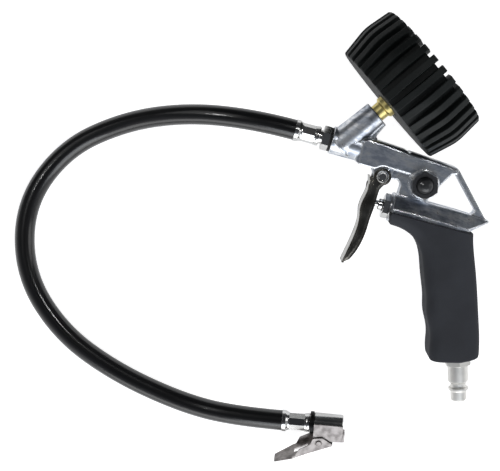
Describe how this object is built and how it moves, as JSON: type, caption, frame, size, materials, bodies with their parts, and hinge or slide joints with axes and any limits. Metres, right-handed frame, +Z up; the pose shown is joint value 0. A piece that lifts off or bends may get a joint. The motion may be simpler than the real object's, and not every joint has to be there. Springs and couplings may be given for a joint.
{
  "type": "tire inflator",
  "caption": "Hand-held tire inflator: cast trigger gun with rubber grip, gauge in a ribbed rubber boot, air inlet plug, and a short hose with a clip-on valve chuck.",
  "frame": {"origin": "on the floor under the middle of the gun's box, the hose and chuck left out", "axes": "+Z up, the gun lying on its side; +Y along the floor from the inlet plug towards the gauge; +X from the hose's nose towards the rear strut"},
  "size_m": [0.2899, 0.272, 0.0863],
  "materials": {
    "cast_polished": "polished casting",
    "rubber_grip": "matte",
    "rubber_boot": "matte",
    "rubber_hose": "glossy",
    "rubber_seal": "matte",
    "trigger_steel": "dark bright plating",
    "steel": "satin",
    "nickel": "bright nickel",
    "chrome": "bright",
    "brass": "turned",
    "black_gloss": "glossy",
    "black_enamel": "satin enamel",
    "dial_white": "matte enamel",
    "lens_clear": "clear",
    "clip_plate": "satin plate"
  },
  "bodies": {
    "gun": {"body_casting": "cast_polished", "trigger_pivot_rivet": "chrome", "valve_gland_nut": "chrome", "gland_washer": "steel", "stem_seal": "rubber_seal", "valve_seat": "brass", "valve_spring": "steel", "grip_sleeve": "rubber_grip", "inlet_plug": "nickel", "inlet_seal": "rubber_seal", "bleed_cap": "black_gloss", "bleed_spring": "steel", "union_washer": "rubber_seal", "hose_union": "chrome", "gun_ferrule": "chrome", "gauge_socket": "brass", "gauge_boot": "rubber_boot", "gauge_case": "black_enamel", "gauge_bezel": "chrome", "gauge_lens": "lens_clear", "gauge_dial": "dial_white", "dial_screws": "steel", "bourdon_tube": "brass", "movement_back_plate": "brass", "movement_front_plate": "brass", "movement_posts": "brass", "air_hose": "rubber_hose", "chuck_ferrule": "chrome", "chuck_barb": "steel", "chuck_body": "chrome", "chuck_bracket": "clip_plate", "chuck_pivot_pin": "steel", "chuck_lever_spring": "steel", "chuck_seal": "rubber_seal", "chuck_core_pin": "brass"},
    "trigger": {"trigger_lever": "trigger_steel"},
    "valve": {"valve_stem": "chrome", "valve_plug": "brass"},
    "bleed": {"bleed_button": "black_gloss", "bleed_seal": "rubber_seal"},
    "sector": {"sector_gear": "brass"},
    "link": {"gauge_link": "brass"},
    "pointer": {"gauge_pointer": "black_enamel", "pinion_arbor": "brass"},
    "clip": {"chuck_lever": "clip_plate"}
  },
  "joints": [
    {"name": "trigger_pull", "type": "hinge", "parent": "gun", "child": "trigger", "pos_m": [-0.00545, 0.02135, 0.03414], "axis": [0, -0.165, 0.9863], "range_deg": [0, 10], "stiffness_Nm_per_rad": 0.5, "springref_deg": -20.05},
    {"name": "valve_slide", "type": "slide", "parent": "gun", "child": "valve", "axis": [0.9659, -0.2553, -0.0427], "range_m": [0, 0.003], "deforming": ["valve_spring"]},
    {"name": "bleed_press", "type": "slide", "parent": "gun", "child": "bleed", "axis": [0, 0.165, -0.9863], "range_m": [0, 0.002], "stiffness_N_per_m": 600, "springref_m": -0.002, "deforming": ["bleed_spring"]},
    {"name": "sector_turn", "type": "hinge", "parent": "gun", "child": "sector", "pos_m": [0.02082, 0.05785, 0.04025], "axis": [0.766, 0.634, 0.1061], "range_deg": [0, 33.75]},
    {"name": "pointer_turn", "type": "hinge", "parent": "gun", "child": "pointer", "pos_m": [0.00867, 0.07213, 0.04264], "axis": [-0.766, -0.634, -0.1061], "range_deg": [0, 270.1]},
    {"name": "link_turn", "type": "hinge", "parent": "sector", "child": "link", "pos_m": [0.02455, 0.05396, 0.03656], "axis": [0.766, 0.634, 0.1061], "range_deg": [-33.8, 0]},
    {"name": "clip_squeeze", "type": "hinge", "parent": "gun", "child": "clip", "pos_m": [-0.04175, -0.13906, 0.01324], "axis": [0.0773, 0.3122, -0.9469], "range_deg": [0, 16], "stiffness_Nm_per_rad": 0.35, "springref_deg": -22.92, "deforming": ["chuck_lever_spring"]}
  ],
  "couplings": [
    {"joint": "valve_slide", "follows": "trigger_pull", "m_per_rad": 0.017},
    {"joint": "pointer_turn", "follows": "sector_turn", "ratio": 8},
    {"joint": "link_turn", "follows": "sector_turn", "ratio": -1}
  ]
}
